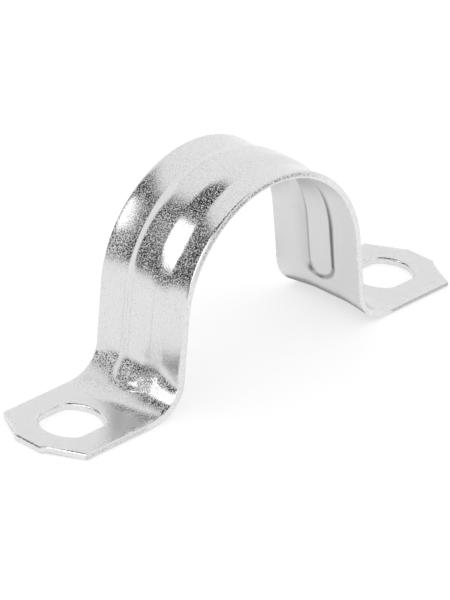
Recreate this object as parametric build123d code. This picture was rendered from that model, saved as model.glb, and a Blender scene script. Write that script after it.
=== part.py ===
from build123d import *
from math import cos, radians, sin, tan
import os

# Conduit strap: a saddle for round conduit, pressed in one piece from plated steel strip.
# Millimetres. Origin on the wall, in the middle of the strap: X runs from foot to foot,
# Y across the strip, Z away from the wall.

# Strip
strip_width = 16.4
sheet = 1.0
edge_round = 0.2

# Arch, legs and foot bends
conduit_diameter = 32.0
arch_centre_height = 12.4
leg_lean = 5.6
bend_hollow_radius = 6.5

# Feet: two clipped corners each, with a small tab left between them
end_tab_width = 5.0
end_tab_step = 0.7
end_tab_flare = 0.4
corner_length = 3.1

# Screw slots: two flats along the strap, closed by shallow arcs, with sheet left at both ends
slot_to_bend = 1.957
slot_to_end = 3.7
slot_width = 8.0
slot_length = 8.5
slot_flat = 4.6
slot_corner_round = 0.8
slot_edge_break = 0.2

# Stiffening rib, pressed outwards along the middle of the legs and the arch
rib_width = 7.9
rib_height = 0.5
rib_slope = 15.5
rib_run_into_left_bend = 32.0
rib_run_into_right_bend = 1.0
rib_end_stretch = 0.9
rib_end_reach = 60.0
rib_crest_round = 2.0
rib_root_round = 0.6
groove_floor_round = 1.0
groove_lip_round = 1.6

# Sizes that follow from those above
conduit_radius = conduit_diameter / 2
bend_radius = bend_hollow_radius + sheet
half_strip = strip_width / 2
lean = radians(leg_lean)
slope = radians(rib_slope)
bend_centre_x = (
    conduit_radius + bend_radius + (arch_centre_height - bend_radius) * sin(lean)
) / cos(lean)
slot_middle_x = bend_centre_x + slot_to_bend + slot_length / 2
half_length = slot_middle_x + slot_length / 2 + slot_to_end
mid_sheet = sheet / 2
groove_half_width = rib_width / 2 - sheet * tan(slope / 2)
tolerance = 0.01


def from_arch(reach, angle=lean):
    """Point in the XZ plane at a distance from the arch's centre."""
    return reach * cos(angle), arch_centre_height + reach * sin(angle)


def from_bend(reach, angle=lean):
    """Point in the XZ plane at a distance from the right bend's centre, towards the inner skin."""
    return bend_centre_x - reach * cos(angle), bend_radius - reach * sin(angle)


def half_skin(lift):
    """Right half of the strap's long section, lifted off the inner skin, foot end to crown."""
    foot_end = (half_length, lift)
    bend_start = (bend_centre_x, lift)
    leg_foot = from_bend(bend_radius - lift)
    leg_top = from_arch(conduit_radius + lift)
    crown = (0, arch_centre_height + conduit_radius + lift)
    return [
        Line(foot_end, bend_start),
        RadiusArc(bend_start, leg_foot, bend_radius - lift),
        Line(leg_foot, leg_top),
        RadiusArc(leg_top, crown, -(conduit_radius + lift)),
    ]


def bent_strip():
    """The plain sheet, bent into feet, legs and arch."""
    inner = half_skin(0)
    outer = half_skin(sheet)
    foot_cut = Line(inner[0] @ 0, outer[0] @ 0)
    crown_cut = Line(inner[-1] @ 1, outer[-1] @ 1)
    section = Plane.XZ * make_face(inner + outer + [foot_cut, crown_cut])
    right = extrude(section, amount=half_strip, both=True)
    return right + mirror(right, about=Plane.YZ)


def foot_plan():
    """Outline of the strip seen from above, with its clipped corners and end tabs."""
    tab_y = end_tab_width / 2
    quarter = [
        (half_length - corner_length, half_strip),
        (half_length - end_tab_step, tab_y + end_tab_flare),
        (half_length, tab_y),
    ]
    right = quarter + [(x, -y) for x, y in reversed(quarter)]
    left = [(-x, -y) for x, y in right]
    return make_face(Polyline(right + left, close=True))


def slot_plan():
    """Outline of one screw slot about its own middle."""
    flat = slot_flat / 2
    side = slot_width / 2
    end = slot_length / 2
    sides = [
        Line((-flat, side), (flat, side)),
        ThreePointArc((flat, side), (end, 0), (flat, -side)),
        Line((flat, -side), (-flat, -side)),
        ThreePointArc((-flat, -side), (-end, 0), (-flat, side)),
    ]
    plan = make_face(sides)
    return fillet(plan.vertices(), slot_corner_round)


def station(point, angle):
    """Section plane square to the strip, with local x across it and local y as the lift."""
    x, z = point
    return Plane(origin=(x, 0, z), x_dir=(0, 1, 0), z_dir=(sin(angle), 0, -cos(angle)))


def half_bar(skin, half_width, crest_round, run_into_bend):
    """Right half of a sloping-sided bar on a skin, from the crown to its rounded end in the bend."""
    foot = skin - mid_sheet
    top = skin + rib_height
    wide = half_width + mid_sheet / tan(slope)
    crest = half_width - rib_height / tan(slope)
    section = make_face(
        Polyline((-wide, foot), (wide, foot), (crest, top), (-crest, top), close=True)
    )
    at_top = station(from_arch(conduit_radius), lean)
    at_foot = station(from_bend(bend_radius), lean)
    arch_axis = Axis((0, 0, arch_centre_height), (0, -1, 0))
    bend_axis = Axis((bend_centre_x, 0, bend_radius), (0, -1, 0))
    arch = revolve(at_top * section, arch_axis, revolution_arc=90 - leg_lean)
    leg = extrude(at_top * section, amount=(at_foot.origin - at_top.origin).length)
    run = revolve(at_foot * section, bend_axis, revolution_arc=run_into_bend)
    bar = arch + leg + run + rounded_end(foot, top, wide, bend_axis, run_into_bend)
    return fillet(side_edges(bar, top, wide), crest_round)


def rounded_end(foot, top, wide, bend_axis, run_into_bend):
    """Half of a stretched cone that closes the bar, kept between two skins of the bend."""
    end_angle = lean + radians(run_into_bend)
    end_point = from_bend(bend_radius, end_angle)
    at_end = station(end_point, end_angle)
    on_skin = Plane(origin=at_end.origin, x_dir=(0, 1, 0), z_dir=at_end.y_dir)
    apex = foot + wide * tan(slope)
    half_section = Plane.XZ * make_face(
        Polyline((0, foot), (wide, foot), (0, apex), close=True)
    )
    cone = revolve(half_section, Axis((0, 0, 0), (0, 0, -1)), revolution_arc=180)
    cone = on_skin * scale(cone, by=(1, rib_end_stretch, 1))
    layer = make_face(
        Polyline((-wide, foot), (wide, foot), (wide, top), (-wide, top), close=True)
    )
    return cone & revolve(at_end * layer, bend_axis, revolution_arc=rib_end_reach)


def whole_bar(skin, half_width, crest_round):
    """Sloping-sided bar on a skin, from its rounded end in one bend over the arch to the other."""
    right = half_bar(skin, half_width, crest_round, rib_run_into_right_bend)
    left = half_bar(skin, half_width, crest_round, rib_run_into_left_bend)
    return right + mirror(left, about=Plane.YZ)


def lift_of(point):
    """Height of a point above the inner skin, measured square to the sheet."""
    down = Vector(sin(lean), 0, -cos(lean))
    out = Vector(cos(lean), 0, sin(lean))
    arch_to_point = Vector(abs(point.X), 0, point.Z - arch_centre_height)
    bend_to_point = Vector(abs(point.X) - bend_centre_x, 0, point.Z - bend_radius)
    if arch_to_point.dot(down) <= 0:
        return arch_to_point.length - conduit_radius
    if abs(point.X) >= bend_centre_x:
        return point.Z
    if bend_to_point.dot(down) >= 0:
        return bend_radius - bend_to_point.length
    return arch_to_point.dot(out) - conduit_radius


def lies_at(edge, lift):
    """Whether the whole edge keeps one lift above the inner skin."""
    return all(abs(lift_of(edge @ t) - lift) < tolerance for t in (0, 0.5, 1))


def side_edges(shape, lift, half_width):
    """Edges along the rib's sides and round its ends at one lift, without the seams across it."""
    along = shape.edges().filter_by(Axis.Y, reverse=True)
    return [
        e
        for e in along
        if lies_at(e, lift) and abs((e @ 0.5).Y) < half_width + tolerance
    ]


def outer_edges(shape, is_wanted):
    """Edges on the outer skin whose points all pass a test."""
    return [
        e
        for e in shape.edges()
        if lies_at(e, sheet) and all(is_wanted(e @ t) for t in (0, 0.5, 1))
    ]


def on_outline(point):
    """Whether a point is on the strip's long sides or its clipped ends."""
    at_side = abs(abs(point.Y) - half_strip) < tolerance
    at_end = abs(point.X) > half_length - corner_length - tolerance
    return at_side or at_end


def by_slot(point):
    """Whether a point is on the rim of a slot or inside it."""
    along = abs(abs(point.X) - slot_middle_x) < slot_length / 2 + tolerance
    across = abs(point.Y) < slot_width / 2 + tolerance
    return along and across


def with_rib(strip):
    """The strip with its rib: a bar added outside and an equal groove pressed in from inside."""
    bar = whole_bar(sheet, rib_width / 2, rib_crest_round)
    groove = whole_bar(0, groove_half_width, groove_floor_round)
    ribbed = strip + bar - groove
    ribbed = fillet(side_edges(ribbed, sheet, rib_width / 2), rib_root_round)
    return fillet(side_edges(ribbed, 0, rib_width / 2), groove_lip_round)


def punched(strap):
    """The strap with its ends clipped, its slots punched and the outer edges of both rolled over."""
    strap = strap & extrude(foot_plan(), amount=conduit_diameter)
    strap = fillet(outer_edges(strap, on_outline), edge_round)
    slot = extrude(slot_plan(), amount=sheet, both=True)
    for x in (slot_middle_x, -slot_middle_x):
        strap = strap - Pos(x, 0, 0) * slot
    return chamfer(outer_edges(strap, by_slot), slot_edge_break)


strap = punched(with_rib(bent_strip()))
os.makedirs("parts", exist_ok=True)
export_step(strap, "parts/conduit_strap.step")
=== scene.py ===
import math

import bmesh
import bpy
import numpy as np
from mathutils import Matrix, Vector
from mathutils.geometry import delaunay_2d_cdt


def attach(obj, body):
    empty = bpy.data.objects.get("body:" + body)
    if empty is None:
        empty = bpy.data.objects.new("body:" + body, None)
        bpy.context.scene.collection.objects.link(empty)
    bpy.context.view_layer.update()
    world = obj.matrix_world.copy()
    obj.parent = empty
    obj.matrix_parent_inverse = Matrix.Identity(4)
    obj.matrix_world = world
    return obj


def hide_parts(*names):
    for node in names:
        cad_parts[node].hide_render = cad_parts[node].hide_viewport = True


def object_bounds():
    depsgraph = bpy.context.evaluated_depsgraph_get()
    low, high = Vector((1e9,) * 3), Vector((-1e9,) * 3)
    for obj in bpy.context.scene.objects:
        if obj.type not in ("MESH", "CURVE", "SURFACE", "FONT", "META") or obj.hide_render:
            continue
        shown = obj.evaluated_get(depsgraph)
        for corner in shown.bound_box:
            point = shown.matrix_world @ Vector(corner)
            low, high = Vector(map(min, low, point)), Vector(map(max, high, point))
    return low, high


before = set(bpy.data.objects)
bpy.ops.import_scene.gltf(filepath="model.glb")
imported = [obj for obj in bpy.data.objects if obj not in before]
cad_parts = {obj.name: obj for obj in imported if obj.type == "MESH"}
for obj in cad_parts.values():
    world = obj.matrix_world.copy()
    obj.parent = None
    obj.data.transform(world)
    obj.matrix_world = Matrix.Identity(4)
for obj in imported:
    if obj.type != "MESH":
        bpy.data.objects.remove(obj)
cad_low, cad_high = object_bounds()

# Conduit strap in bright zinc plate. Metres, in the part's own frame: X runs from foot to foot,
# Y across the strip, Z away from the wall. A place on the strip is s, its distance along the strip
# from the crown, which is negative to the left, and t, its distance across from the middle. The
# near side is the -Y one, which faces the camera, and the far side is the +Y one.
MM = 0.001
RIGHT_ANGLE = math.pi / 2

# Strip, arch and foot bends
half_length = cad_high.x
half_strip = cad_high.y
sheet = 1.0 * MM
conduit_radius = 16.0 * MM
bend_hollow_radius = 6.5 * MM
lean = math.radians(5.6)

# Rib on the outer skin
rib_half_width = 3.95 * MM
rib_height = 0.5 * MM
rib_slope = math.radians(15.5)
rib_run_into_left_bend = math.radians(32)
rib_run_into_right_bend = math.radians(1)
rib_end_stretch = 0.9
rib_end_reach = math.radians(60)
rib_near_flank = 2.25 * MM
rib_far_flank = 1.35 * MM
crest_softness = 0.18 * MM
root_softness = 0.04 * MM

# Groove on the inner skin: its walls are steeper on the near side and at the right end
groove_near_lip = 4.05 * MM
groove_near_floor = 2.85 * MM
groove_far_lip = 4.1 * MM
groove_far_floor = 1.65 * MM
groove_left_run = 3.9 * MM
groove_left_lip_end = 2.7 * MM
groove_left_floor_end = 1.5 * MM
groove_right_run = -0.9 * MM
groove_right_lip_end = 2.75 * MM
groove_right_floor_end = 2.2 * MM
groove_lip_softness = 0.10 * MM
groove_floor_softness = 0.03 * MM
least_wall = 0.001

# Set of the bent sheet: its edges stand out a little over the arch and fall away in the bends
arch_edge_flare = 0.22 * MM
arch_edge_flare_from = 4.3 * MM
arch_edge_flare_fade = 3 * MM
bend_edge_fall = 0.5 * MM
bend_edge_fall_from = 3.0 * MM
bend_edge_fall_curve = 1.3

# Feet
end_tab_half_width = 2.5 * MM
end_tab_step = 0.7 * MM
end_tab_flare = 0.4 * MM
corner_length = 3.1 * MM
slot_to_end = 3.7 * MM
slot_half_width = 4.0 * MM
slot_half_length = 4.25 * MM
slot_half_flat = 2.3 * MM

# Cut edges: rolled over at the punch side, with a small burr break at the other
edge_roll = 0.35 * MM
edge_drop = 0.33 * MM
edge_break = 0.04 * MM
torn_band_foot = 0.32 * sheet
torn_band_fade = 0.1 * sheet
cut_lean = 0.015 * MM
cut_lean_at_break = 0.01 * MM

# Torn part of the near cut edge: its stretch of the arch, and how torn the left foot is
near_rim_width = 0.2 * MM
torn_from = -20 * MM
torn_to = 10 * MM
torn_fade = 6 * MM
torn_left_foot = 0.5
torn_at_band_foot = 0.2

# Roughness of the skins: 0 on plain plate, up to 1 where it is matted, and below 0 where it is smooth
smooth_skin = -0.6
smooth_rim = -0.1
matted_fade = 3 * MM
matted_flank = -2.9 * MM
matted_flank_width = 1.3 * MM
matted_near_half = 0.3
matted_middle = 0.6
far_mottle = 0.6
far_mottle_from = 4 * MM
far_mottle_rise = 2 * MM
far_mottle_middle = 19.5 * MM

# Lines that the die has drawn down the legs, by their place across and how dark they are, one faint
# line along the crest, and painted shade on the rib's near flank in the bends
leg_lines = [
    (3.5 * MM, 0.2),
    (2.5 * MM, 0.25),
    (1.65 * MM, 0.15),
    (-2.4 * MM, 0.12),
    (-7.2 * MM, 0.15),
]
line_width = 0.08 * MM
line_fade = 5 * MM
crest_line_place = 2 * MM
crest_line_middle = -5 * MM
crest_line_reach = 3.5 * MM
crest_line_dark = 0.2
painted_flank_shade = 0.6

# Painted shade in the groove: dark lines along its walls and a dark wedge near its end. Its walls run
# from 0 at the lip to 1 at the foot
wall_shade_from = 0.2
wall_shade_rise = 0.4
wall_shade_to = 1.5
wall_shade_fall = 0.3
wall_foot = 1.0
far_foot_shade = 0.6
far_foot_shade_width = 0.12
far_wall_shade = 0.1
far_wall_shade_rise = 0.5
shade_loss_at_end = 0.4
shade_end_fade = 0.4 * MM
wedge_from = 0.5 * MM
wedge_fade = 1.0 * MM
wedge_place = 1.5 * MM
wedge_width = 0.6 * MM
shade_down_arch_from = 12 * MM
shade_at_crown = 0.3

# Mesh spacing
along_step = 0.4 * MM
bend_step = 0.15 * MM
foot_step = 0.5 * MM
foot_clearance = 0.6 * foot_step
outline_step = 0.3 * MM
flank_rows_from = 1.4 * MM
flank_rows_to = 4.4 * MM
crest_rows = 3
flank_rows = 30
band_rows = 8
slot_arc_steps = 24
slot_corner_reach = 2
roll_steps = 6
least_mitre = 0.3
seam_gap = 1e-6
merge_distance = 1e-7
sharp_angle = math.radians(40)

# Sizes that follow from those above
mid_sheet = sheet / 2
bend_radius = bend_hollow_radius + sheet
arch_centre_height = cad_high.z - rib_height - sheet - conduit_radius
bend_centre_x = (
    conduit_radius + bend_radius + (arch_centre_height - bend_radius) * math.sin(lean)
) / math.cos(lean)
turn = RIGHT_ANGLE - lean
mid_arch_radius = conduit_radius + mid_sheet
mid_bend_radius = bend_radius - mid_sheet
leg_out = Vector((math.cos(lean), math.sin(lean)))
leg_top = leg_out * mid_arch_radius + Vector((0, arch_centre_height))
leg_foot = Vector((bend_centre_x, bend_radius)) - leg_out * mid_bend_radius
arch_end = mid_arch_radius * turn
leg_end = arch_end + (leg_foot - leg_top).length
bend_end = leg_end + mid_bend_radius * turn
strip_end = bend_end + half_length - bend_centre_x
slot_middle = strip_end - slot_to_end - slot_half_length


def held(value):
    """Value held between 0 and 1."""
    return np.clip(value, 0, 1)


def hump(value, middle, width, power=2):
    """1 at the middle and falling away within a width, more steeply with a higher power."""
    return np.exp(-((value - middle) / width) ** power)


# Shape of the strap

def on_path(s):
    """Mid-sheet place and outward direction in the XZ plane, for distances along the strip."""
    side = np.where(s < 0, -1.0, 1.0)
    a = np.abs(s)
    from_top = np.clip(a / mid_arch_radius, 0, turn)
    into_bend = np.clip((a - leg_end) / mid_bend_radius, 0, turn)
    angle = np.where(a > leg_end, lean + into_bend, RIGHT_ANGLE - from_top)
    out_x, out_z = np.cos(angle), np.sin(angle)
    down_leg = np.clip(a - arch_end, 0, leg_end - arch_end)
    x = mid_arch_radius * out_x + down_leg * math.sin(lean)
    z = arch_centre_height + mid_arch_radius * out_z - down_leg * math.cos(lean)
    along_foot = np.maximum(a - bend_end, 0)
    past_leg = a > leg_end
    x = np.where(past_leg, bend_centre_x - mid_bend_radius * out_x + along_foot, x)
    z = np.where(past_leg, bend_radius - mid_bend_radius * out_z, z)
    return side * x, z, side * out_x, out_z


def soft_clamp(value, top, low_soft, high_soft):
    """Value held between 0 and top, with both corners rounded."""
    h = held(0.5 + value / (2 * low_soft))
    low = value * h + low_soft * h * (1 - h)
    g = held(0.5 + (low - top) / (2 * high_soft))
    return low * (1 - g) + top * g - high_soft * g * (1 - g)


def rib_lift(s, t):
    """Height of an even rib above the outer skin, with its rounded end run out in the bend."""
    apex = rib_half_width * math.tan(rib_slope)
    run_into_bend = np.where(s < 0, rib_run_into_left_bend, rib_run_into_right_bend)
    past_run = np.maximum((np.abs(s) - leg_end) / mid_bend_radius - run_into_bend, 0)
    angle = np.minimum(past_run, rib_end_reach)
    along = (bend_hollow_radius - rib_height / 2) * np.sin(angle) / rib_end_stretch
    cone = apex - math.tan(rib_slope) * np.hypot(t, along)
    above = (cone - bend_hollow_radius * (1 - np.cos(angle))) / np.cos(angle)
    above = np.where(past_run > rib_end_reach, -apex, above)
    return soft_clamp(above, rib_height, root_softness, crest_softness)


def outer_lift(s, t):
    """Lift of the outer skin, with the rib's far flank steeper than its near one."""
    crest = rib_half_width - rib_height / math.tan(rib_slope)
    width = np.where(t < 0, rib_near_flank, rib_far_flank)
    past_crest = np.maximum(np.abs(t) - crest, 0)
    even = np.abs(t) + past_crest * ((rib_half_width - crest) / width - 1)
    return sheet + rib_lift(s, even)


def groove_wall(s, t):
    """Place on the groove's wall: 0 at its lip and 1 at its foot."""
    left, near = s < 0, t < 0
    past = np.maximum(np.abs(s) - leg_end - np.where(left, groove_left_run, groove_right_run), 0)
    lip_end = np.where(left, groove_left_lip_end, groove_right_lip_end)
    floor_end = np.where(left, groove_left_floor_end, groove_right_floor_end)
    from_lip = np.hypot(t / np.where(near, groove_near_lip, groove_far_lip), past / lip_end)
    from_floor = np.hypot(t / np.where(near, groove_near_floor, groove_far_floor), past / floor_end)
    return (1 - from_lip) / np.maximum(from_floor - from_lip, least_wall)


def inner_lift(s, t):
    """Lift of the inner skin: the depth of the groove pressed into it."""
    wall = groove_wall(s, t)
    return soft_clamp(wall * rib_height, rib_height, groove_lip_softness, groove_floor_softness)


def sheet_set(s, t):
    """How far the sheet stands off its true bend: outwards over the arch, inwards in the bends."""
    a, across = np.abs(s), np.abs(t)
    over_arch = held((leg_end - a) / arch_edge_flare_fade + 1)
    flare = held((across - arch_edge_flare_from) / (half_strip - arch_edge_flare_from)) ** 2
    in_bend = np.sin(np.pi * held((a - leg_end) / (bend_end - leg_end))) ** 2
    fall = held((across - bend_edge_fall_from) / (half_strip - bend_edge_fall_from))
    fall = fall ** bend_edge_fall_curve
    return arch_edge_flare * over_arch * flare - bend_edge_fall * in_bend * fall


def on_strap(s, t, lift):
    """Places in space of points on the strip, lifted off its inner skin."""
    x, z, out_x, out_z = on_path(s)
    up = lift - mid_sheet + sheet_set(s, t)
    return np.stack([x + out_x * up, t, z + out_z * up], 1)


# Marks on the skins and the cut edge

def near_flank(t):
    """1 on the rib's near flank, and 0 away from it."""
    return hump(t, matted_flank, matted_flank_width, 4)


def die_lines_and_painted_shade(s, t):
    """How dark the outer skin is: the lines drawn by the die, a faint line along the crest, and painted
    shade on the rib's near flank in the bends.
    """
    a = np.abs(s)
    on_leg = held((a - arch_end) / line_fade + 1) * held((leg_end - a) / line_fade + 1)
    lines = sum(dark * hump(t, place, line_width) for place, dark in leg_lines)
    in_bend = held((a - leg_end) / matted_fade) * held((bend_end - a) / matted_fade - 1)
    on_crest = hump(s, crest_line_middle, crest_line_reach, 4) * hump(t, crest_line_place, line_width)
    return on_leg * lines + painted_flank_shade * in_bend * near_flank(t) + crest_line_dark * on_crest


def matted(s, t):
    """How rough the outer skin is: matted in the bends, mottled by the far edge, smooth on the feet."""
    a = np.abs(s)
    far_half = matted_middle + (1 - matted_middle) * t / half_strip
    across = np.maximum(near_flank(t), np.where(t < 0, matted_near_half, far_half))
    in_bend = held((a - leg_end) / matted_fade) * across
    on_foot = held((a - bend_end) / matted_fade + 1)
    by_far_edge = held((t - far_mottle_from) / far_mottle_rise)
    mottle = by_far_edge * hump(a, far_mottle_middle, matted_fade, 4)
    return in_bend * (1 - on_foot) + far_mottle * mottle + smooth_skin * on_foot


def smooth(s, t):
    """How rough the inner skin is: smooth all over."""
    return np.full(len(s), smooth_skin)


def torn(s, t):
    """How torn the cut edge is: the near one over the arch, and a little along the left foot."""
    over_arch = held((s - torn_from) / torn_fade) * held((torn_to - s) / torn_fade)
    on_left_foot = np.where(s < -bend_end, torn_left_foot, 0)
    return np.where(t < near_rim_width - half_strip, np.maximum(over_arch, on_left_foot), 0)


def painted_shade_and_lines(s, t):
    """How dark the inner skin is: painted shade along the groove's walls, most on its near side, with a
    dark wedge near its end, all lighter towards the crown.
    """
    a, wall = np.abs(s), groove_wall(s, t)
    past_run = a - leg_end - groove_right_run
    on_wall = held((wall - wall_shade_from) / wall_shade_rise) * held((wall_shade_to - wall) / wall_shade_fall)
    near = on_wall * (1 - shade_loss_at_end * held(past_run / shade_end_fade))
    tint = far_wall_shade * held(wall / far_wall_shade_rise) * (wall < wall_foot)
    far = far_foot_shade * hump(wall, wall_foot, far_foot_shade_width) + tint
    wedge = held((past_run - wedge_from) / wedge_fade) * on_wall * hump(t, wedge_place, wedge_width)
    down_arch = np.clip((a - shade_down_arch_from) / (arch_end - shade_down_arch_from), shade_at_crown, 1)
    return np.where(t < 0, near, np.maximum(far, wedge)) * down_arch


# Plan of the flat strip

def divided(points, step):
    """The points of a line with each of its edges divided into steps, without the last point."""
    out = []
    for a, b in zip(points, points[1:]):
        n = max(1, round((b - a).length / step))
        out += [a.lerp(b, k / n) for k in range(n)]
    return out


def along_positions():
    """Distances along the strip of the mesh's cross rows, from bend end to bend end."""
    stops = [0, arch_end, leg_end + groove_right_run, leg_end, bend_end]
    steps = [along_step, along_step, bend_step, bend_step]
    half = []
    for a, b, step in zip(stops, stops[1:], steps):
        n = math.ceil((b - a) / step)
        half += [a + (b - a) * k / n for k in range(n)]
    half.append(bend_end)
    return [-s for s in reversed(half[1:])] + half


def cross_positions(edge):
    """Distances across the strip of the mesh's long rows: close together on the rib's flanks."""
    crest = np.linspace(0, flank_rows_from, crest_rows + 1)[:-1]
    flank = np.linspace(flank_rows_from, flank_rows_to, flank_rows + 1)
    band = np.linspace(flank_rows_to, edge, band_rows + 1)[1:]
    half = list(crest) + list(flank) + list(band)
    return [-t for t in reversed(half[1:])] + half


def foot_outline(side):
    """Outline of one foot past its bend, from the far side of the strip round to the near side."""
    corners = [
        Vector((bend_end, half_strip)),
        Vector((strip_end - corner_length, half_strip)),
        Vector((strip_end - end_tab_step, end_tab_half_width + end_tab_flare)),
        Vector((strip_end, end_tab_half_width)),
    ]
    corners += [Vector((p.x, -p.y)) for p in reversed(corners)]
    outline = divided(corners, outline_step) + [corners[-1]]
    return [Vector((side * p.x, p.y)) for p in outline]


def strip_loop():
    """The whole strip's outline, anticlockwise."""
    rows = along_positions()
    right = foot_outline(1)
    left = foot_outline(-1)
    near = [Vector((s, -half_strip)) for s in rows]
    far = [Vector((s, half_strip)) for s in reversed(rows)]
    return near[:-1] + right[::-1][:-1] + far[:-1] + left[:-1]


def arc(start, mid, end, count):
    """Points on the arc through three points, its ends included."""
    a, b = mid - start, end - start
    d = 2 * (a.x * b.y - a.y * b.x)
    centre = start + Vector((
        (b.y * a.length_squared - a.y * b.length_squared) / d,
        (a.x * b.length_squared - b.x * a.length_squared) / d,
    ))
    radius = (start - centre).length
    first = math.atan2(start.y - centre.y, start.x - centre.x)
    sweep = (math.atan2(end.y - centre.y, end.x - centre.x) - first) % math.tau
    if (math.atan2(mid.y - centre.y, mid.x - centre.x) - first) % math.tau > sweep:
        sweep -= math.tau
    angles = [first + sweep * k / count for k in range(count + 1)]
    return [centre + radius * Vector((math.cos(angle), math.sin(angle))) for angle in angles]


def corners_eased(loop):
    """A loop with each point at the mean of itself and its neighbours, which rounds the corners."""
    near = range(-slot_corner_reach, slot_corner_reach + 1)
    count = len(loop)
    return [
        sum((loop[(k + j) % count] for j in near), Vector((0, 0))) / len(near)
        for k in range(count)
    ]


def slot_loop(side):
    """Outline of one slot, anticlockwise: two flats along the strip, closed by shallow arcs."""
    flat, width, end = slot_half_flat, slot_half_width, slot_half_length
    right = arc(Vector((flat, -width)), Vector((end, 0)), Vector((flat, width)), slot_arc_steps)
    left = [Vector((-p.x, -p.y)) for p in right]
    sharp = divided(right + left + right[:1], outline_step)
    return [p + Vector((side * slot_middle, 0)) for p in corners_eased(sharp)]


def inset(loop, distance):
    """A loop moved square to itself, to its left for a positive distance."""
    out = []
    for k, p in enumerate(loop):
        before = (p - loop[k - 1]).normalized()
        after = (loop[(k + 1) % len(loop)] - p).normalized()
        left = Vector((-before.y - after.y, before.x + after.x)).normalized()
        square = Vector((-before.y, before.x))
        out.append(p + left * (distance / max(left.dot(square), least_mitre)))
    return out


def inside(loop, p):
    """Whether a point is inside a loop."""
    crossings = 0
    for k, b in enumerate(loop):
        a = loop[k - 1]
        if (a.y > p.y) != (b.y > p.y) and p.x < a.x + (p.y - a.y) / (b.y - a.y) * (b.x - a.x):
            crossings += 1
    return crossings % 2 == 1


def clear_of(loop, p):
    """Whether a point keeps its clearance from all of a loop's points."""
    return min((p - q).length_squared for q in loop) > foot_clearance * foot_clearance


def loop_edges(first, count):
    """Edges of a loop whose points are numbered from a first one."""
    return [(first + k, first + (k + 1) % count) for k in range(count)]


def skin_grid(columns):
    """Flat points and faces of one skin over arch, legs and bends."""
    rows = along_positions()
    width = len(columns)
    points = [Vector((s, t)) for s in rows for t in columns]
    faces = [
        (k, k + width, k + width + 1, k + 1)
        for r in range(len(rows) - 1)
        for k in range(r * width, (r + 1) * width - 1)
    ]
    return points, faces


def foot_plate(side, columns, edge_inset):
    """Flat points and faces of one skin of a foot, filled between its outline and its slot."""
    edge = half_strip - edge_inset
    outline = inset(strip_loop(), edge_inset)
    foot = [p for p in outline if side * p.x > bend_end + seam_gap]
    foot.sort(key=lambda p: math.atan2(p.y, side * p.x - bend_end))
    seam = [Vector((side * bend_end, t)) for t in columns]
    ring = foot + list(reversed(seam))
    hole = inset(slot_loop(side), -edge_inset)
    first_row = bend_end + foot_step
    inner = [
        Vector((side * (first_row + i * foot_step), -edge + (j + 0.5) * foot_step))
        for i in range(int((strip_end - first_row) / foot_step) + 1)
        for j in range(int(2 * edge / foot_step))
    ]
    inner = [
        p for p in inner
        if inside(ring, p) and not inside(hole, p) and clear_of(ring, p) and clear_of(hole, p)
    ]
    edges = loop_edges(0, len(ring)) + loop_edges(len(ring), len(hole))
    within_edges = 1
    points, _, faces, *_ = delaunay_2d_cdt(
        ring + hole + inner, edges, [], within_edges, merge_distance, False
    )
    in_slot = [inside(hole, sum((points[k] for k in f), Vector((0, 0))) / 3) for f in faces]
    return points, [f for f, is_open in zip(faces, in_slot) if not is_open]


def skin_plan(edge_inset):
    """Flat points and faces of one whole skin."""
    columns = cross_positions(half_strip - edge_inset)
    points, faces = skin_grid(columns)
    for side in (-1, 1):
        plate, fill = foot_plate(side, columns, edge_inset)
        first = len(points)
        points += plate
        faces += [tuple(first + k for k in f) for f in fill]
    return points, faces


# Mesh of the strap

def skin_mesh(bm, layers, edge_inset, lift, dark, rough, flip):
    """One skin, with how dark it is painted by lines and painted shade, and how rough it is, at each of
    its points.
    """
    points, faces = skin_plan(edge_inset)
    s = np.array([p.x for p in points])
    t = np.array([p.y for p in points])
    verts = [bm.verts.new(co) for co in on_strap(s, t, lift(s, t))]
    for v, darkness, roughness in zip(verts, dark(s, t), rough(s, t)):
        v[layers["painted_shade_and_lines"]] = darkness
        v[layers["roughened"]] = roughness
    for f in faces:
        ring = [verts[k] for k in f]
        bm.faces.new(reversed(ring) if flip else ring)


def rim_rings():
    """Inset, lift, cut and torn for each ring of a cut edge, from the outer skin to the inner."""
    rings = []
    for k in range(roll_steps + 1):
        angle = RIGHT_ANGLE * k / roll_steps
        lift = sheet - edge_drop * (1 - math.cos(angle))
        tear = max(0, 2 * k / roll_steps - 1)
        rings.append((edge_roll * (1 - math.sin(angle)), lift, k / roll_steps, tear))
    rings += [
        (0, torn_band_foot, 1.0, 1.0),
        (cut_lean, torn_band_foot - torn_band_fade, 1.0, torn_at_band_foot),
        (cut_lean_at_break, edge_break, 1.0, 0.0),
        (edge_break, 0, 1.0, 0.0),
    ]
    return rings


def rim_mesh(bm, layers, loop, side):
    """The cut edge round a loop, side 1 for material on the loop's left."""
    rows = []
    for ring_inset, lift, cut, tear in rim_rings():
        ring = inset(loop, side * ring_inset)
        s = np.array([p.x for p in ring])
        t = np.array([p.y for p in ring])
        row = [bm.verts.new(co) for co in on_strap(s, t, np.full(len(ring), lift))]
        for v, amount in zip(row, torn(s, t - ring_inset) * tear):
            v[layers["cut_edge"]] = cut
            v[layers["torn_edge"]] = amount
            v[layers["roughened"]] = smooth_rim * cut
        rows.append(row)
    n = len(loop)
    for upper, lower in zip(rows, rows[1:]):
        for k in range(n):
            quad = [upper[k], lower[k], lower[(k + 1) % n], upper[(k + 1) % n]]
            bm.faces.new(quad if side > 0 else reversed(quad))


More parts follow.
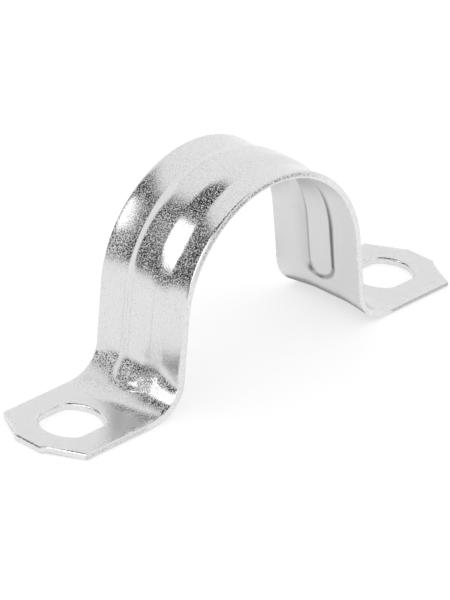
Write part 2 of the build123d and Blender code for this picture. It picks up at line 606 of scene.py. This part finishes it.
def strap_piece():
    """The strap as one closed, smooth mesh."""
    bm = bmesh.new()
    for name in ("cut_edge", "torn_edge", "painted_shade_and_lines", "roughened"):
        bm.verts.layers.float.new(name)
    layers = bm.verts.layers.float
    skin_mesh(bm, layers, edge_roll, outer_lift, die_lines_and_painted_shade, matted, False)
    skin_mesh(bm, layers, edge_break, inner_lift, painted_shade_and_lines, smooth, True)
    rim_mesh(bm, layers, strip_loop(), 1)
    for side in (-1, 1):
        rim_mesh(bm, layers, slot_loop(side), -1)
    bmesh.ops.remove_doubles(bm, verts=bm.verts, dist=merge_distance)
    bmesh.ops.recalc_face_normals(bm, faces=bm.faces)
    mesh = bpy.data.meshes.new("strap")
    bm.to_mesh(mesh)
    bm.free()
    mesh.shade_smooth()
    mesh.set_sharp_from_angle(angle=sharp_angle)
    strap = bpy.data.objects.new("strap", mesh)
    bpy.context.scene.collection.objects.link(strap)
    return strap


# Materials

# Grey tones of the zinc
plain_tone = 0.74
speck_tone = 0.86
cut_tone = 0.8
torn_tone = 0.06
# Tone of the die lines and of the painted shade in the groove and on the rib's near flank
shade_and_line_tone = 0.2

# Grain: cells of noise to the metre, and the part of the noise that makes specks and torn spots
crystal_scale = 6500
crystal_detail = 1
matted_gain = 0.12
speck_range = (0.55, 0.60)
torn_range = (0.44, 0.56)
torn_most = 0.75

# Roughness of the plate and its specks, how much the smooth skins add to it, and the fine bumps
plate_roughness = 0.15
speck_roughness = 0.85
smooth_skin_roughness = 0.15
bump_scale = 6000
bump_detail = 2
bump_height = 0.012 * MM

# Floor: its own grey in the light, and the glow that keeps it white
floor_tone = 0.45
floor_glow = 0.6


def grey(tone):
    """An opaque grey."""
    return (tone, tone, tone, 1)


def nodes_of(name):
    """A new material and its empty node tree."""
    material = bpy.data.materials.new(name)
    material.use_nodes = True
    tree = material.node_tree
    tree.nodes.clear()
    return material, tree


def feed(tree, socket, value):
    """Links another node's output to a socket, or sets the socket to a plain value."""
    if isinstance(value, bpy.types.NodeSocket):
        tree.links.new(value, socket)
    else:
        socket.default_value = value


def computed(tree, operation, *values):
    """Result of a sum on outputs of nodes or plain values."""
    node = tree.nodes.new("ShaderNodeMath")
    node.operation = operation
    for socket, value in zip(node.inputs, values):
        feed(tree, socket, value)
    return node.outputs[0]


def noise_of(tree, vector, scale, detail):
    """Noise with a number of cells to the metre."""
    grain = tree.nodes.new("ShaderNodeTexNoise")
    grain.inputs["Scale"].default_value = scale
    grain.inputs["Detail"].default_value = detail
    tree.links.new(vector, grain.inputs["Vector"])
    return grain.outputs["Fac"]


def ranged(tree, value, limits, to_limits):
    """A value taken from one range to another, and held within it."""
    node = tree.nodes.new("ShaderNodeMapRange")
    for name, limit in zip(("From Min", "From Max", "To Min", "To Max"), (*limits, *to_limits)):
        node.inputs[name].default_value = limit
    tree.links.new(value, node.inputs["Value"])
    return node.outputs["Result"]


def layer_of(tree, name):
    """A number that the mesh carries at each of its points."""
    node = tree.nodes.new("ShaderNodeAttribute")
    node.attribute_name = name
    return node.outputs["Fac"]


def toned(tree, amount, colour, tone):
    """A colour turned to a grey tone by an amount."""
    mix = tree.nodes.new("ShaderNodeMix")
    mix.data_type = "RGBA"
    feed(tree, mix.inputs["Factor"], amount)
    feed(tree, mix.inputs["A"], colour)
    feed(tree, mix.inputs["B"], grey(tone))
    return mix.outputs["Result"]


def zinc_colour(tree, crystals, speck):
    """Colour of the plate and its specks, of the cut edge and its torn spots, and of the lines and
    painted shade.
    """
    colour = toned(tree, speck, grey(plain_tone), speck_tone)
    colour = toned(tree, layer_of(tree, "cut_edge"), colour, cut_tone)
    torn_spots = ranged(tree, crystals, torn_range, (torn_most, 0))
    ragged = computed(tree, "MULTIPLY", layer_of(tree, "torn_edge"), torn_spots)
    colour = toned(tree, ragged, colour, torn_tone)
    return toned(tree, layer_of(tree, "painted_shade_and_lines"), colour, shade_and_line_tone)


def fine_bumps(tree, place, roughened):
    """Normal of the plate's fine bumps, which the smooth skins don't have."""
    bump = tree.nodes.new("ShaderNodeBump")
    feed(tree, bump.inputs["Distance"], bump_height)
    feed(tree, bump.inputs["Strength"], ranged(tree, roughened, (smooth_skin, 0), (0, 1)))
    feed(tree, bump.inputs["Height"], noise_of(tree, place, bump_scale, bump_detail))
    return bump.outputs["Normal"]


def bright_zinc():
    """Zinc plate: bright as a mirror, with fine specks that scatter the light."""
    material, tree = nodes_of("bright_zinc")
    out = tree.nodes.new("ShaderNodeOutputMaterial")
    surface = tree.nodes.new("ShaderNodeBsdfPrincipled")
    place = tree.nodes.new("ShaderNodeTexCoord").outputs["Object"]
    roughened = layer_of(tree, "roughened")
    crystals = noise_of(tree, place, crystal_scale, crystal_detail)
    grain = computed(tree, "MULTIPLY_ADD", roughened, matted_gain, crystals)
    speck = ranged(tree, grain, speck_range, (0, 1))
    by_speck = ranged(tree, speck, (0, 1), (plate_roughness, speck_roughness))
    by_skin = ranged(tree, roughened, (smooth_skin, smooth_rim), (smooth_skin_roughness, 0))
    feed(tree, surface.inputs["Metallic"], 1.0)
    feed(tree, surface.inputs["Base Color"], zinc_colour(tree, crystals, speck))
    feed(tree, surface.inputs["Roughness"], computed(tree, "ADD", by_speck, by_skin))
    feed(tree, surface.inputs["Normal"], fine_bumps(tree, place, roughened))
    feed(tree, out.inputs["Surface"], surface.outputs[0])
    return material


def pale_floor():
    """White floor that stays white in view and in reflections, and keeps a soft shadow."""
    material, tree = nodes_of("pale_floor")
    add, link = tree.nodes.new, tree.links.new
    out, both = add("ShaderNodeOutputMaterial"), add("ShaderNodeAddShader")
    diffuse, glow = add("ShaderNodeBsdfDiffuse"), add("ShaderNodeEmission")
    diffuse.inputs["Color"].default_value = grey(floor_tone)
    ray = add("ShaderNodeLightPath").outputs
    seen = computed(tree, "MAXIMUM", ray["Is Camera Ray"], ray["Is Glossy Ray"])
    seen = computed(tree, "MAXIMUM", seen, ray["Is Transmission Ray"])
    link(computed(tree, "MULTIPLY", seen, floor_glow), glow.inputs["Strength"])
    link(diffuse.outputs[0], both.inputs[0])
    link(glow.outputs[0], both.inputs[1])
    link(both.outputs[0], out.inputs["Surface"])
    return material


def plain_glow(name, strength):
    """A white that glows evenly."""
    material, tree = nodes_of(name)
    out, glow = tree.nodes.new("ShaderNodeOutputMaterial"), tree.nodes.new("ShaderNodeEmission")
    glow.inputs["Color"].default_value = grey(1)
    glow.inputs["Strength"].default_value = strength
    tree.links.new(glow.outputs[0], out.inputs["Surface"])
    return material


# Studio

studio_centre = Vector((0, 0, 15 * MM))
floor_reach = 4
shade_height = 0.1 * MM


def bearing(azimuth, elevation):
    """Unit vector by compass: azimuth 0 points along +Y and 90 along +X."""
    a, e = math.radians(azimuth), math.radians(elevation)
    return Vector((math.sin(a) * math.cos(e), math.cos(a) * math.cos(e), math.sin(e)))


def flat_piece(name, corners, material):
    """One flat face of the studio."""
    mesh = bpy.data.meshes.new(name)
    mesh.from_pydata(corners, [], [tuple(range(len(corners)))])
    mesh.materials.append(material)
    obj = bpy.data.objects.new(name, mesh)
    bpy.context.scene.collection.objects.link(obj)
    return obj


def reflected(name, glow, corners):
    """A glowing face that only the metal's reflections show."""
    obj = flat_piece(name, corners, plain_glow(name, glow))
    obj.visible_camera = False
    obj.visible_diffuse = False
    obj.visible_shadow = False


def card(name, corners, distance, glow):
    """A studio card for the metal to reflect, by its corners' azimuths and elevations in degrees."""
    reflected(name, glow, [studio_centre + bearing(*corner) * distance for corner in corners])


def painted_floor_shadow(name, corners, glow):
    """A painted shadow on the floor: a dim sheet that only the metal's reflections show, by its corners'
    X and Y in millimetres.
    """
    reflected(name, glow, [Vector((x * MM, y * MM, shade_height)) for x, y in corners])


def floor_and_world():
    """The floor, and an even white room that gives all the light."""
    r = floor_reach
    floor = flat_piece("floor", [(-r, -r, 0), (r, -r, 0), (r, r, 0), (-r, r, 0)], pale_floor())
    world = bpy.data.worlds.new("white_studio")
    world.use_nodes = True
    world.node_tree.nodes["Background"].inputs["Color"].default_value = grey(1)
    bpy.context.scene.world = world


def cards_and_shades():
    """What darkens and brightens the metal: the photo's studio as far as the strap shows it."""
    far_off, less_far = 0.8, 0.6
    dark, bright = 0.05, 2.3
    wall = [(-112, 1), (-68, 1), (-24, 1), (-22, 30), (-19, 47), (-60, 50), (-112, 50)]
    ceiling = [
        (-112, 48), (-60, 48), (-19, 46), (-12, 56), (10, 62), (60, 70), (180, 80), (-150, 55)
    ]
    box = [
        (-112, 8), (-86, 11), (-62, 23), (-51.5, 26), (-40.5, 46), (-62, 54), (-85, 51), (-112, 46)
    ]
    card("dark_wall", wall, far_off, dark)
    card("dark_ceiling", ceiling, far_off, dark)
    card("bright_box", box, less_far, bright)
    # Painted shadows on the floor, dim sheets that only the metal's reflections show
    behind_leg = [(13, 14), (24, 14), (40, 22), (40, 42), (13, 42)]
    under_bend = [(18.5, -8), (25, -8), (25, 9), (18.5, 9)]
    before_foot = [(24, -10.5), (40, -10.5), (40, -8.35), (24, -8.35)]
    painted_floor_shadow("painted_shadow_behind_right_leg", behind_leg, glow=0.45)
    painted_floor_shadow("painted_shadow_under_right_bend", under_bend, glow=0.3)
    painted_floor_shadow("painted_shadow_before_right_foot", before_foot, glow=0.6)


def camera():
    """The photograph's viewpoint: a long lens that looks down over the left foot's near corner."""
    azimuth, elevation, roll = math.radians(-44.80), math.radians(28.22), math.radians(0.19)
    distance = 640.4 * MM
    aim_right, aim_up = -0.907 * MM, 6.958 * MM
    focal_pixels, long_side = 4629.5, 600
    back = Vector((
        math.sin(azimuth) * math.cos(elevation),
        -math.cos(azimuth) * math.cos(elevation),
        math.sin(elevation),
    ))
    level = Vector((math.cos(azimuth), math.sin(azimuth), 0))
    right = (Matrix.Rotation(roll, 3, back) @ level).normalized()
    up = back.cross(right)
    data = bpy.data.cameras.new("camera")
    data.lens = focal_pixels / long_side * data.sensor_width
    obj = bpy.data.objects.new("camera", data)
    turn_to = Matrix((right, up, back)).transposed()
    place = right * aim_right + up * aim_up + back * distance
    obj.matrix_world = Matrix.Translation(place) @ turn_to.to_4x4()
    bpy.context.scene.collection.objects.link(obj)
    bpy.context.scene.camera = obj


strap = strap_piece()
strap.data.materials.append(bright_zinc())
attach(strap, "root")
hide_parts("conduit_strap")
floor_and_world()
cards_and_shades()
camera()
bpy.context.scene.view_settings.view_transform = "Standard"
